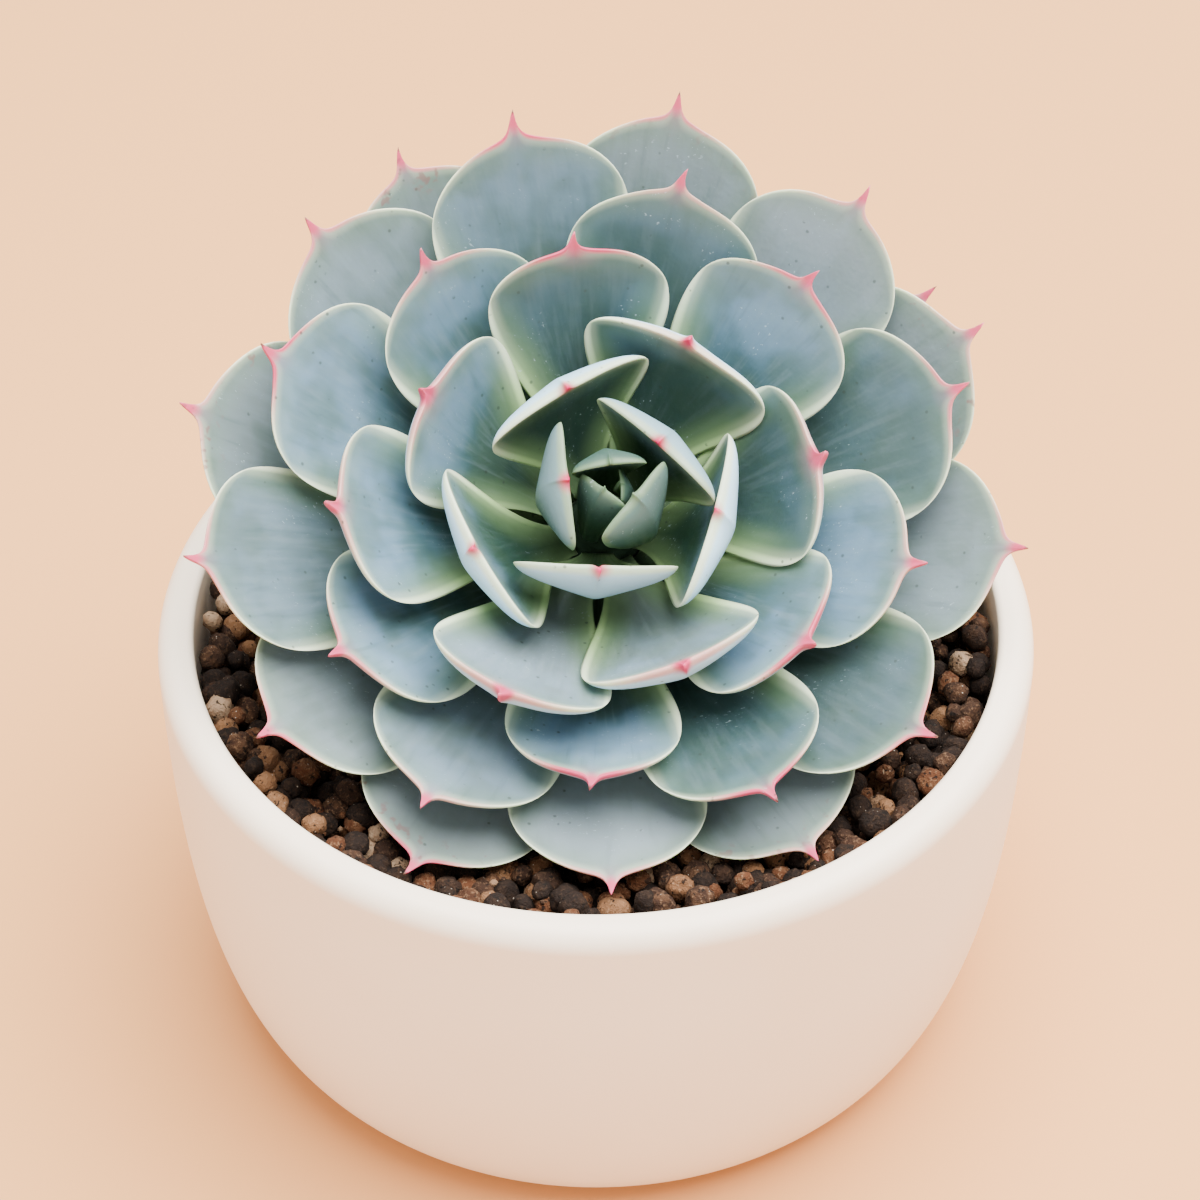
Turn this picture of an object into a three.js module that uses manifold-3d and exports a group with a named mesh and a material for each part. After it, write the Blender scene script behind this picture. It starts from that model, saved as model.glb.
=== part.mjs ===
// Rosette succulent in a round bowl: pot, granular soil, stem and 43 thick pointed leaves.
// Millimetres, +Z up. The origin is the centre of the pot's flat base, and -Y is the front.
import * as THREE from "three";
import { mergeVertices } from "three/addons/utils/BufferGeometryUtils.js";
import Module from "manifold-3d";

const wasm = await Module();
wasm.setup();

// Pot
const potHeight = 59;
const potRimRadius = 55;
const potBaseRadius = 41;
const potCurve = 2.62; // exponent of the wall's outer curve
const potWall = 4.6;
const potFloor = 6;
const potSides = 48;
const lipOuterRound = 2.8; // radius of the soft outer edge of the lip
const lipInnerRound = 0.9;

// Soil
const fitGap = 0.3; // between pieces that touch
const bedHeight = 48.6; // top of the solid bed that the granules stand out of
const wallLevels = [8, 14, 26, 40]; // heights at which the pot's inside and the bed both bend
const granulePitch = 6.9;
const granuleSize = [2.9, 3.6]; // smallest and largest radius
const granuleRise = [-0.9, -0.1]; // height of a granule's centre above the bed
const granuleJitter = 0.8;
const leafClearance = 0.5; // granules under a low leaf sink until they clear it by this
const granuleSeed = 7;

// Rosette: the spiral leans towards the front and a little to the right
const rosetteCentre = [1.8, -3.5, 83.1]; // where the innermost tips meet the axis
const leanForward = 32;
const leanRight = 3.2;
const spiralStart = 9;
const spiralStep = 138.02; // degrees from one leaf to the next, clockwise from above
const lastPlace = 44;
const emptyPlaces = [42, 43]; // old leaves that have dropped off
const commonRoll = 2; // each leaf is turned a little about its own midrib

// Stem: leaves leave it one after the other, the oldest lowest
const apexDepth = 14; // below the rosette's centre, along the axis
const leafSpacing = 0.44;
const stemTopRadius = 2.2;
const stemRadius = 6.4;
const stemFullPlace = 30; // the place from which the stem has its full radius
const stemEnd = 50; // depth of the root end
const stemSides = 16;

// Leaf measures by place on the spiral, from the youngest at 0 to the oldest
const agePlaces = [0, 2, 5, 9, 14, 20, 28, 36, 44];
const tipRadius = [1.1, 1.2, 6.9, 18, 30, 37.6, 48.8, 52.4, 52.3]; // from the axis
const tipHeight = [0, 3.5, 2.5, 0.5, 0, 0, -1, -4, -8.5]; // above the centre
const leafWidth = [4.4, 9, 19, 22.5, 22.5, 22.8, 23.8, 24, 23.6];
const leafThickness = [1.2, 2.4, 3.4, 3.8, 3.7, 3.6, 3.5, 3.1, 2.8];
const leafCurl = [15, 20, 40, 48, 34, 22, 18, 17, 16]; // degrees from base to tip
const leafCup = [0.2, 0.3, 0.4, 0.7, 1.3, 1.5, 1.4, 1.3, 1.3]; // margins above the midrib
const baseWidth = [2.6, 3.2, 3.8, 4.2, 4.4, 4.6, 4.8, 4.8, 4.8];
const shoulderDrop = [1.2, 1.6, 3, 4.5, 6.5, 8.8, 10.3, 10.5, 10.5]; // shoulders behind the end
const shoulderCurve = [3, 3, 3, 2.7, 2.5, 2.3, 2.2, 2.15, 2.15]; // exponent: higher is squarer
const pointLength = [0.5, 0.8, 1, 1.3, 2, 2.8, 3.2, 3.3, 3.3];

// How single leaves stray from the spiral and the curves above, by place
const strayTurn = {
  0: -5, 2: 4, 3: 5, 4: 5, 5: 1, 7: -9, 10: -6, 13: -6, 14: 8, 17: 4, 18: 3, 21: -4, 23: 3, 26: -3,
  27: -2, 29: -5, 30: 3, 32: -2, 33: 3, 34: -3, 35: -2, 37: -3, 38: 4, 40: -5, 41: 10, 44: -20,
};
const strayRadius = {
  6: 1, 8: -2.5, 11: 1.5, 13: -1.5, 16: -1.5, 18: 2, 19: 1, 22: -1, 25: 1, 27: -2, 28: 1, 30: 2,
  31: 1, 32: -1, 36: 1, 37: -1, 38: 1, 41: 1,
};
const strayHeight = {
  8: -0.5, 11: 2.9, 12: 0.2, 13: 0.2, 14: 4.8, 15: 1.8, 16: 1.4, 17: 3, 18: 1, 19: 0.4, 20: -0.2,
  21: -0.5, 22: -0.3, 24: 2.3, 25: 0.3, 28: 0.2, 29: 1.1, 30: 2.2, 31: 0.4, 33: -0.5, 35: -0.1,
  37: -0.6, 41: -2.1, 44: -4.5,
};
const strayCurl = { 3: 10, 5: 5, 6: -10, 7: 12, 8: 12, 10: 16, 29: -4, 32: -6, 35: -3, 37: -6, 40: -6 };
const strayWidth = {
  7: 1.5, 8: 1, 10: 2, 16: -0.5, 19: -1.5, 22: -0.5, 23: 1.2, 24: -1, 25: 0.8, 26: 1.5, 28: 1.5, 36: 1,
};
const leafRoll = { 0: 0, 4: 5, 5: 8, 6: 8, 7: 8, 8: 0, 10: 0, 29: 1 };

// Leaf mesh: stations from the base to the end, and lines from one margin to the other
const leafRows = [0, 0.25, 0.5, 0.7, 0.85, 0.95, 1];
const leafLines = [-1, -0.78, -0.48, -0.16, 0, 0.16, 0.48, 0.78, 1];
const narrowing = 1.7; // how soon the blade narrows below its shoulders
const pointFlare = 0.11; // spread of the point, as a share of half the width

const colours = {
  pot: 0xefe8de,
  soil: 0x4a3a30,
  stem: 0x8a8f6a,
  leaf: 0xa9bdb6,
};

const radians = THREE.MathUtils.degToRad;
const clamp = THREE.MathUtils.clamp;

function byAge(list, place) {
  let k = 0;
  while (k < agePlaces.length - 2 && place > agePlaces[k + 1]) k += 1;
  const share = (place - agePlaces[k]) / (agePlaces[k + 1] - agePlaces[k]);
  return list[k] + (list[k + 1] - list[k]) * share;
}

function stemRadiusAt(place) {
  const share = Math.min(1, (place / stemFullPlace) ** 0.6);
  return stemTopRadius + (stemRadius - stemTopRadius) * share;
}

function material(colour, roughness) {
  return new THREE.MeshStandardMaterial({ color: colour, roughness, metalness: 0 });
}

function namedMesh(name, geometry, colour, roughness) {
  const mesh = new THREE.Mesh(geometry, material(colour, roughness));
  mesh.name = name;
  return mesh;
}

function turned(profile, sides) {
  const points = profile.map(([r, z]) => new THREE.Vector2(r, z));
  const geometry = new THREE.LatheGeometry(points, sides);
  geometry.rotateX(Math.PI / 2);
  return geometry;
}

// One leaf's midrib is an arc from the stem to the tip, in the plane of the axis
function leafArc(place) {
  const root = stemRadiusAt(place) + fitGap;
  const depth = apexDepth + leafSpacing * place;
  const reach = byAge(tipRadius, place) + (strayRadius[place] ?? 0) - root;
  const climb = byAge(tipHeight, place) + (strayHeight[place] ?? 0) + depth;
  const curl = radians(byAge(leafCurl, place) + (strayCurl[place] ?? 0));
  const chord = Math.hypot(reach, climb);
  const length = (chord * curl / 2) / Math.sin(curl / 2);
  const startAngle = Math.atan2(climb, reach) - curl / 2;
  return { root, depth, length, curl, startAngle };
}

// A point of the leaf: s runs from base to end, u from margin to margin, side is 1 on top
function leafPoint(place, arc, s, u, side) {
  const edge = Math.abs(u);
  const width = byAge(leafWidth, place) + (strayWidth[place] ?? 0);
  const waist = byAge(baseWidth, place) / width;
  const spread = waist + (1 - waist) * Math.sin(Math.PI / 2 * s ** narrowing);
  const curve = byAge(shoulderCurve, place);
  const drop = byAge(shoulderDrop, place) * (1 - Math.max(0, 1 - edge ** curve) ** (1 / curve));
  const point = byAge(pointLength, place);
  const pointShare = Math.exp(-edge / pointFlare) * clamp((s - 0.85) / 0.15, 0, 1) ** 2;
  const along = s * (arc.length - point - drop) + point * pointShare;

  // The upper face is a shallow spoon, the underside a rounded keel that thins to the margins
  const top = byAge(leafCup, place) * edge ** 2 * (0.2 + 0.8 * clamp(s / 0.6, 0, 1));
  const rim = Math.sqrt(Math.max(0, 1 - edge ** 5));
  const keel = 1 - (Math.sqrt(u * u + 0.006) - Math.sqrt(0.006)) / 0.925;
  const endRound = Math.max(0, 1 - clamp((s - 0.7) / 0.3, 0, 1) ** 2.2) ** 0.55;
  const section = rim * (0.35 + 0.65 * clamp(keel, 0, 1)) * (0.45 + 0.55 * clamp(s / 0.5, 0, 1));
  const offset = side > 0 ? top : top - byAge(leafThickness, place) * section * endRound;

  const roll = radians(leafRoll[place] ?? commonRoll);
  const across = width / 2 * spread * u * Math.cos(roll) - offset * Math.sin(roll);
  const lift = width / 2 * spread * u * Math.sin(roll) + offset * Math.cos(roll);
  const angle = arc.startAngle + arc.curl * along / arc.length;
  const bend = arc.length / arc.curl;
  const out = bend * (Math.sin(angle) - Math.sin(arc.startAngle)) - lift * Math.sin(angle);
  const up = bend * (Math.cos(arc.startAngle) - Math.cos(angle)) + lift * Math.cos(angle);
  return [arc.root + out, across, up - arc.depth];
}

// Top and underside share their margins and their end; both are split along the same diagonals
function leafGeometry(place) {
  const arc = leafArc(place);
  const positions = [];
  const index = [];
  const lastRow = leafRows.length - 1;
  const lastLine = leafLines.length - 1;
  const add = (s, u, side) => positions.push(...leafPoint(place, arc, s, u, side)) / 3 - 1;
  const top = leafRows.map((s) => leafLines.map((u) => add(s, u, 1)));
  const under = leafRows.map((s, r) => leafLines.map((u, c) => {
    const shared = r === lastRow || c === 0 || c === lastLine;
    return shared ? top[r][c] : add(s, u, -1);
  }));
  const triangle = (a, b, c) => {
    if (a !== b && b !== c && a !== c) index.push(a, b, c);
  };
  const quad = (a, b, c, d, firstDiagonal) => {
    if (firstDiagonal) {
      triangle(a, b, c);
      triangle(a, c, d);
    } else {
      triangle(a, b, d);
      triangle(b, c, d);
    }
  };
  for (let r = 0; r < lastRow; r += 1) {
    for (let c = 0; c < lastLine; c += 1) {
      const left = c < lastLine / 2;
      quad(top[r][c], top[r + 1][c], top[r + 1][c + 1], top[r][c + 1], left);
      quad(under[r][c], under[r][c + 1], under[r + 1][c + 1], under[r + 1][c], left);
    }
  }
  for (let c = 0; c < lastLine; c += 1) {
    quad(top[0][c], top[0][c + 1], under[0][c + 1], under[0][c], true);
  }
  const geometry = new THREE.BufferGeometry();
  geometry.setAttribute("position", new THREE.Float32BufferAttribute(positions, 3));
  geometry.setIndex(index);
  geometry.computeVertexNormals();
  return geometry;
}

function makeLeaves() {
  const places = [];
  for (let place = 0; place <= lastPlace; place += 1) {
    if (!emptyPlaces.includes(place)) places.push(place);
  }
  return places.map((place, k) => {
    const name = `leaf_${String(k + 1).padStart(2, "0")}`;
    const leaf = namedMesh(name, leafGeometry(place), colours.leaf, 0.6);
    leaf.rotation.z = radians(spiralStart - spiralStep * place + (strayTurn[place] ?? 0));
    return leaf;
  });
}

// The stem follows the rosette's axis, with the growing point on top and a tapered root end
function stemProfile(grow) {
  const profile = [[0, -apexDepth + 1.6 + grow], [stemTopRadius * 0.7 + grow, -apexDepth + 0.9]];
  for (const place of [2, 6, 12, 20, stemFullPlace, lastPlace]) {
    profile.push([stemRadiusAt(place) + grow, -apexDepth - leafSpacing * place]);
  }
  profile.push([stemRadius + grow, -stemEnd + 5]);
  profile.push([stemRadius * 0.5 + grow, -stemEnd - grow], [0, -stemEnd - grow]);
  return profile.reverse();
}

function potRadiusAt(z) {
  const share = clamp(1 - z / potHeight, 0, 1);
  return potBaseRadius + (potRimRadius - potBaseRadius) * (1 - share ** potCurve) ** (1 / potCurve);
}

function makePot() {
  const shoulder = potHeight - lipOuterRound;
  const innerRadius = potRimRadius - potWall;
  const profile = [[0, 0]];
  for (const share of [0, 0.015, 0.06, 0.16, 0.32, 0.54, 0.78]) {
    profile.push([potRadiusAt(share * shoulder), share * shoulder]);
  }
  for (const turn of [0, 30, 60, 90]) {
    const r = potRimRadius - lipOuterRound * (1 - Math.cos(radians(turn)));
    profile.push([r, shoulder + lipOuterRound * Math.sin(radians(turn))]);
  }
  for (const turn of [0, 45, 90]) {
    const r = innerRadius + lipInnerRound * (1 - Math.sin(radians(turn)));
    profile.push([r, potHeight - lipInnerRound * (1 - Math.cos(radians(turn)))]);
  }
  for (const z of [bedHeight, ...wallLevels.toReversed(), potFloor]) {
    profile.push([potRadiusAt(z) - potWall, z]);
  }
  profile.push([0, potFloor]);
  return turned(profile, potSides);
}

function toSolid(geometry) {
  const bare = geometry.clone();
  bare.deleteAttribute("normal");
  bare.deleteAttribute("uv");
  const merged = mergeVertices(bare, 1e-4);
  const vertProperties = new Float32Array(merged.attributes.position.array);
  const triVerts = new Uint32Array(merged.index.array);
  return new wasm.Manifold(new wasm.Mesh({ numProp: 3, vertProperties, triVerts }));
}

function toGeometry(solid) {
  const mesh = solid.getMesh();
  const geometry = new THREE.BufferGeometry();
  geometry.setAttribute("position", new THREE.BufferAttribute(mesh.vertProperties, 3));
  geometry.setIndex(new THREE.BufferAttribute(mesh.triVerts, 1));
  geometry.computeVertexNormals();
  return geometry;
}

function seededRandom(seed) {
  let state = seed;
  return () => {
    state = (state * 48271) % 2147483647;
    return state / 2147483647;
  };
}

// Lowest leaf point near a spot of the soil, or Infinity where no leaf hangs low
function lowestLeafOver(points, x, y, reach) {
  let lowest = Infinity;
  for (const p of points) {
    if (Math.hypot(p.x - x, p.y - y) < reach) lowest = Math.min(lowest, p.z);
  }
  return lowest;
}

function leafPoints(leaves) {
  const points = [];
  for (const leaf of leaves) {
    const position = leaf.geometry.attributes.position;
    for (let k = 0; k < position.count; k += 1) {
      points.push(new THREE.Vector3().fromBufferAttribute(position, k).applyMatrix4(leaf.matrixWorld));
    }
  }
  return points;
}

// Granules stand in loose rows over the whole bed, each a roughly round lump of its own size
function granules(leaves) {
  const random = seededRandom(granuleSeed);
  const between = ([low, high]) => low + (high - low) * random();
  const low = leafPoints(leaves);
  const wallRadius = potRadiusAt(bedHeight) - potWall - fitGap;
  const rowPitch = granulePitch * Math.sqrt(3) / 2;
  const rows = Math.ceil(wallRadius / rowPitch);
  const lumps = [];
  for (let row = -rows; row <= rows; row += 1) {
    for (let column = -rows - 1; column <= rows + 1; column += 1) {
      const radius = between(granuleSize);
      const jitter = [between([-1, 1]) * granuleJitter, between([-1, 1]) * granuleJitter];
      const rise = between(granuleRise);
      const turn = new THREE.Euler(random() * 6, random() * 6, random() * 6);
      const squash = 0.85 + 0.15 * random();
      let x = (column + (row % 2) / 2) * granulePitch + jitter[0];
      let y = row * rowPitch + jitter[1];
      const out = Math.hypot(x, y);
      const limit = wallRadius - radius - 0.2;
      if (out > limit + granulePitch * 0.55) continue;
      if (out > limit) {
        x *= limit / out;
        y *= limit / out;
      }
      const ceiling = lowestLeafOver(low, x, y, radius + 4) - leafClearance;
      const z = Math.min(bedHeight + rise, ceiling - radius);
      const lump = new THREE.IcosahedronGeometry(radius, 0);
      lump.scale(1, 1, squash);
      lump.applyMatrix4(new THREE.Matrix4().makeRotationFromEuler(turn));
      lump.translate(x, y, z);
      lumps.push(lump);
    }
  }
  return lumps;
}

// The bed fills the pot up to the granules, with a plain hole for the stem
function makeSoil(leaves, rosette) {
  const bottom = potFloor + fitGap;
  const profile = [[0, bottom]];
  for (const z of [bottom, ...wallLevels, bedHeight]) {
    profile.push([potRadiusAt(z) - potWall - fitGap, z]);
  }
  profile.push([0, bedHeight]);
  const bed = toSolid(turned(profile, potSides));
  const lumps = granules(leaves).map(toSolid);
  const hole = turned(stemProfile(fitGap), stemSides);
  hole.applyMatrix4(rosette.matrixWorld);
  const filled = lumps.reduce((soil, lump) => soil.add(lump), bed);
  return toGeometry(filled.subtract(toSolid(hole)));
}

const rosette = new THREE.Group();
rosette.position.set(...rosetteCentre);
rosette.rotation.set(radians(leanForward), radians(leanRight), 0);
const leaves = makeLeaves();
rosette.add(namedMesh("stem", turned(stemProfile(0), stemSides), colours.stem, 0.7), ...leaves);
rosette.updateMatrixWorld(true);

const plant = new THREE.Group();
plant.add(namedMesh("pot", makePot(), colours.pot, 0.45));
plant.add(namedMesh("soil", makeSoil(leaves, rosette), colours.soil, 0.95));
plant.add(rosette);

export default plant;
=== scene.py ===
# Esther echeveria in a cream bowl pot: fine leaves, granules and glaze over the CAD frame.
# Lengths are in millimetres until a mesh is made; the lights are placed in metres.
# Colours are linear red, green and blue.
import math
import random

import bmesh
import bpy
import numpy as np
from mathutils import Euler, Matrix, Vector, noise


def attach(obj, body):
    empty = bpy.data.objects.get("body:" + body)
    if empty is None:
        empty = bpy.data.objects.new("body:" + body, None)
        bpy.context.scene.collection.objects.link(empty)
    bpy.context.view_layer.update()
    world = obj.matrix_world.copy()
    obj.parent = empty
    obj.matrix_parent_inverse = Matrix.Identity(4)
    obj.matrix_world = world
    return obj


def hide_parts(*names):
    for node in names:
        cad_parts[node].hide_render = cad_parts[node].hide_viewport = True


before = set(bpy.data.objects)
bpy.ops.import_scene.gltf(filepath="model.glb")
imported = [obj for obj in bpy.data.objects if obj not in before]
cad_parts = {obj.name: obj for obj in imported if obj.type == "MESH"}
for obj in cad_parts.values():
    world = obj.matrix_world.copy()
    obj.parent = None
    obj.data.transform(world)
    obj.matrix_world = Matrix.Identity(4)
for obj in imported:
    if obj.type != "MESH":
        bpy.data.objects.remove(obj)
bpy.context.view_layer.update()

MM = 0.001

# Camera, fitted to the photograph's 1200 x 1200 frame
PHOTO_SIZE = 1200
FOCAL_PIXELS = 3352.8
SENSOR = 36.0
VIEW_ELEVATION = math.radians(43.22)
VIEW_DISTANCE = 420.0
VIEW_TARGET = (0.52, 0.0, 60.62)
CLIP_START = 0.01  # in metres

# Pot, as in the part's source
POT_HEIGHT = 59.0
POT_RIM_RADIUS = 55.0
POT_BASE_RADIUS = 41.0
POT_CURVE = 2.62
POT_WALL = 4.6
LIP_OUTER_ROUND = 2.8
LIP_INNER_ROUND = 0.9

# Fineness of the pot's mesh
POT_SIDES = 192
POT_RINGS = 48
POT_RING_CROWDING = 2.2  # above 1 the rings lie closer together at the foot
POT_BASE_RING = 20.0  # radius of a ring that divides the flat base
POT_FOOT_EDGE = 0.6
LIP_OUTER_STEPS = 12
LIP_INNER_STEPS = 8
INSIDE_RINGS = 19
INSIDE_RING_STEP = 2.6

# Rosette and leaves, as in the part's source
ROSETTE_CENTRE = Vector((1.8, -3.5, 83.1))
LEAN_FORWARD = math.radians(32)
LEAN_RIGHT = math.radians(3.2)
SPIRAL_START = 9
SPIRAL_STEP = 138.02
LAST_PLACE = 44
EMPTY_PLACES = (42, 43)
COMMON_ROLL = 2
FIT_GAP = 0.3
APEX_DEPTH = 14.0
LEAF_SPACING = 0.44

# Stem: its radius grows down to the place where it is full
STEM_TOP_RADIUS = 2.2
STEM_RADIUS = 6.4
STEM_FULL_PLACE = 30
STEM_GROWTH = 0.6  # below 1 it grows faster at the top
STEM_END = 50.0
STEM_SIDES = 64
DOME_RISE = 1.6  # of the growing point above the first leaf
DOME_DROP = 0.7
DOME_WIDTH = 0.7  # of the stem's top radius
DOME_RINGS = 5
SCAR_RINGS = 39
SCAR_DEPTH = 0.12
SCAR_STEP = 1.9  # of the wave from ring to ring, in radians
BARE_STEM_TOP = 33.4  # below the rosette's centre, where the last leaf stands
BARE_STEM_RINGS = 8
BARE_STEM_RIPPLE = 0.1
ROOT_TAPER = 5

# Each row gives a measure at these places of the spiral, from the growing point outwards
AGE_PLACES = (0, 2, 5, 9, 14, 20, 28, 36, 44)
TIP_RADIUS = (1.1, 1.2, 6.9, 18, 30, 37.6, 48.8, 52.4, 52.3)
TIP_HEIGHT = (0, 3.5, 2.5, 0.5, 0, 0, -1, -4, -8.5)
LEAF_WIDTH = (4.4, 9, 19, 22.5, 22.5, 22.8, 23.8, 24, 23.6)
LEAF_THICKNESS = (1.2, 2.4, 3.4, 3.8, 3.7, 3.6, 3.5, 3.1, 2.8)
LEAF_CURL = (15, 20, 40, 48, 34, 22, 18, 17, 16)
LEAF_CUP = (0.2, 0.3, 0.4, 0.7, 1.3, 1.5, 1.4, 1.3, 1.3)
BASE_WIDTH = (2.6, 3.2, 3.8, 4.2, 4.4, 4.6, 4.8, 4.8, 4.8)
SHOULDER_DROP = (1.2, 1.6, 3, 4.5, 6.5, 8.8, 10.3, 10.5, 10.5)
SHOULDER_CURVE = (3, 3, 3, 2.7, 2.5, 2.3, 2.2, 2.15, 2.15)
POINT_LENGTH = (0.5, 0.8, 1, 1.4, 2.5, 3.6, 4.2, 4.3, 4.3)

# The outline of every leaf, in shares of half its width where not said otherwise
NARROWING = 1.7  # above 1 the leaf stays slim for longer above its base
FLARE_SPREAD = 0.2  # over which the end draws out to its point
SPINE_SPREAD = 0.032
SPINE_BLUNT = 0.012
SPINE_SHARE = 0.66  # of the point's length, the slim spine at its end
POINT_START = 0.85  # of the leaf's length, where the point begins to draw out
RIPPLE_LENGTH = 0.28  # of the uneven outline at the end, in mm on a leaf of common width
RIPPLE_WIDTH = 0.012
RIPPLE_START = 0.2  # of the leaf's length
RIPPLE_FADE = 0.3  # over which it sets in, along the leaf and away from its midrib
EDGE_WAVES = 3
COMMON_WIDTH = 23.0
END_MARGIN = 0.9  # of the distance to the leaf's end, taken as distance to the margin

# The section of every leaf: shallow spoon above, keel below
RIM_SHARE = 0.38  # of the full thickness, left at the leaf's sides
BASE_SHARE = 0.45  # of the full thickness, at the base
KEEL_BLUNT = 0.006
KEEL_REACH = 0.925
CUP_START = 0.2  # of the full cup, at the base
CUP_FULL_AT = 0.6  # of the leaf's length
THICK_FULL_AT = 0.5  # of the leaf's length
TAPER_START = 0.7  # of the leaf's length, where the end begins to round off at the midrib
TAPER_DELAY = 0.2  # how much later it begins at the sides
DENT_WAVES = 5
DENT_DEPTH = 0.2
DENT_LIMIT = 0.3
CHARACTER_SEED = 100
ANY_TURN = 6.3

# Nudges of single leaves, by their place on the spiral: tone is paler above 0 and darker below,
# partly the leaf's own bloom and partly painted light and painted shade
STRAY_LIGHT_AND_SHADE = {
    7: -1.2, 10: -1.0, 11: 0.6, 13: -1.5, 14: 1, 15: -1.5, 18: -0.2, 20: -0.4, 23: -1.5,
    24: -1.5, 26: -1.2, 27: 0.5, 28: -0.6, 29: -1.5, 30: -0.4, 31: 0.9, 32: 1, 34: 0.2, 35: 0.3,
    37: 0.4, 40: 1,
}
STRAY_TURN = {
    0: -5, 2: 4, 3: 5, 4: 5, 5: 1, 7: -9, 10: -6, 13: -6, 14: 8, 17: 4, 18: 3, 21: -4, 23: 3,
    26: -3, 27: -2, 29: -5, 30: 3, 32: -2, 33: 3, 34: -3, 35: -2, 37: -3, 38: 4, 40: -5, 41: 10,
    44: -20,
}
STRAY_RADIUS = {
    6: 1, 8: -2.5, 11: 1.5, 13: -1.5, 16: -1.5, 18: 2, 19: 1, 22: -1, 25: 1, 27: -2, 28: 1, 30: 2,
    31: 1, 32: -1, 36: 1, 37: -1, 38: 1, 41: 1,
}
STRAY_HEIGHT = {
    8: -0.5, 11: 2.9, 12: 0.2, 13: 0.2, 14: 4.8, 15: 1.8, 16: 1.4, 17: 3, 18: 1, 19: 0.4, 20: -0.2,
    21: -0.5, 22: -0.3, 24: 2.3, 25: 0.3, 28: 0.2, 29: 1.1, 30: 2.2, 31: 0.4, 33: -0.5, 35: -0.1,
    37: -0.6, 41: -2.1, 44: -4.5,
}
STRAY_CURL = {3: 10, 5: 5, 6: -10, 7: 12, 8: 12, 10: 16, 29: -4, 32: -6, 35: -3, 37: -6, 40: -6}
STRAY_WIDTH = {
    7: 1.5, 8: 1, 10: 2, 16: -0.5, 19: -1.5, 22: -0.5, 23: 1.2, 24: -1, 25: 0.8, 26: 1.5, 28: 1.5,
    33: 2, 36: 1, 38: 2, 39: 2,
}
LEAF_ROLL = {0: 0, 4: 5, 5: 8, 6: 8, 7: 8, 8: 0, 10: 0, 29: 1}

# A leaf's mesh: rows as shares of its length, and lines as shares of half its width
LEAF_ROWS = (
    0, 0.06, 0.12, 0.18, 0.24, 0.3, 0.36, 0.42, 0.48, 0.54, 0.6, 0.65, 0.7, 0.74, 0.78, 0.815,
    0.845, 0.87, 0.892, 0.912, 0.93, 0.946, 0.96, 0.972, 0.982, 0.99, 0.996, 1,
)
HALF_LINES = (
    0, 0.016, 0.034, 0.055, 0.08, 0.11, 0.145, 0.185, 0.235, 0.3, 0.37, 0.44, 0.52, 0.6, 0.68,
    0.75, 0.81, 0.865, 0.91, 0.945, 0.97, 0.987, 0.997, 1,
)

# Soil: layers of granules on a jittered grid, with heights from the top of the bed
BED_HEIGHT = 48.6
SOIL_SEED = 11
GRANULE_PITCH = 3.5
GRANULE_RADIUS = (1.2, 2.05)
GRANULE_LIMIT = 50.1  # from the pot's axis to the granules' outer side
GRANULE_JITTER = 0.8
HEIGHT_JITTER = 0.7
LAYER_HEIGHTS = (-2.6, -0.3, 1.6)
LAYER_FILL = (1.0, 1.0, 0.45)
LAYER_SHIFT = (0.5, 0.33)  # of a layer against the one below, in columns and rows
FULL_RING = 44  # beyond this radius every layer is full
WALL_BAND = (36, 48)  # radii between which the granules rise towards the wall
WALL_RISE = (2.0, 5.0)  # by how much they rise, in front and behind
FRONT_AND_BACK = (-50, 10)
GRIT_COUNT = 520
GRIT_RADIUS = (0.3, 0.7)
GRIT_HEIGHT = (0.4, 2.2)
GRIT_TONE = (0.4, 1)
FINE_FRONT = 8.0  # granules farther than this in front of the pot's axis can be seen closely
FINE_RING = 36
FINE_DEPTH = 1.5
CORE_DEPTH = 3.5  # of the plain bed's top below the granules' bed
CORE_FOOT = ((0, 7.0), (44, 7.0), (48, 14.0), (50, 30.0))
CORE_SIDES = 96
# Near black, as painted shade deep between the granules
CORE_SHADE_TONE = 0.1

# Leaves over the soil, in squares of this side, push the granules down
CEILING_SQUARE = 2
CEILING_TOP = 62
CEILING_GAP = 0.4
OPEN_SKY = 99  # the height where no leaf hangs over a square

# A granule: a sphere cut by flats, with lumps given as depth and fineness, then stretched
FLAT_COUNT = 7
FLAT_DISTANCE = (0.74, 0.95)
FLAT_FACING = 0.3
LUMPS = ((0.16, 1.6), (0.12, 4.0))
STRETCH = ((0.9, 1.08), (0.9, 1.08), (0.82, 1.0))

# Stage
FLOOR_REACH = 3000.0
FLOOR_DROP = 0.05
WORLD_COLOUR = (1.0, 0.97, 0.94)
WORLD_STRENGTH = 1.1

# Leaf colours: the upper face from base to end, darkest at the base partly as painted shade and
# palest at the end partly as a painted sheen, then what is mixed into it
UPPER_BASE_AND_SHADE = (0.007, 0.024, 0.014)
UPPER_LOW = (0.024, 0.056, 0.050)
UPPER_STEEL = (0.045, 0.098, 0.122)
UPPER_BLUE = (0.112, 0.195, 0.270)
UPPER_FROST_AND_SHEEN = (0.170, 0.265, 0.340)
UPPER_OLD = (0.124, 0.150, 0.132)
UPPER_BUD_SHADE = (0.012, 0.040, 0.014)
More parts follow.
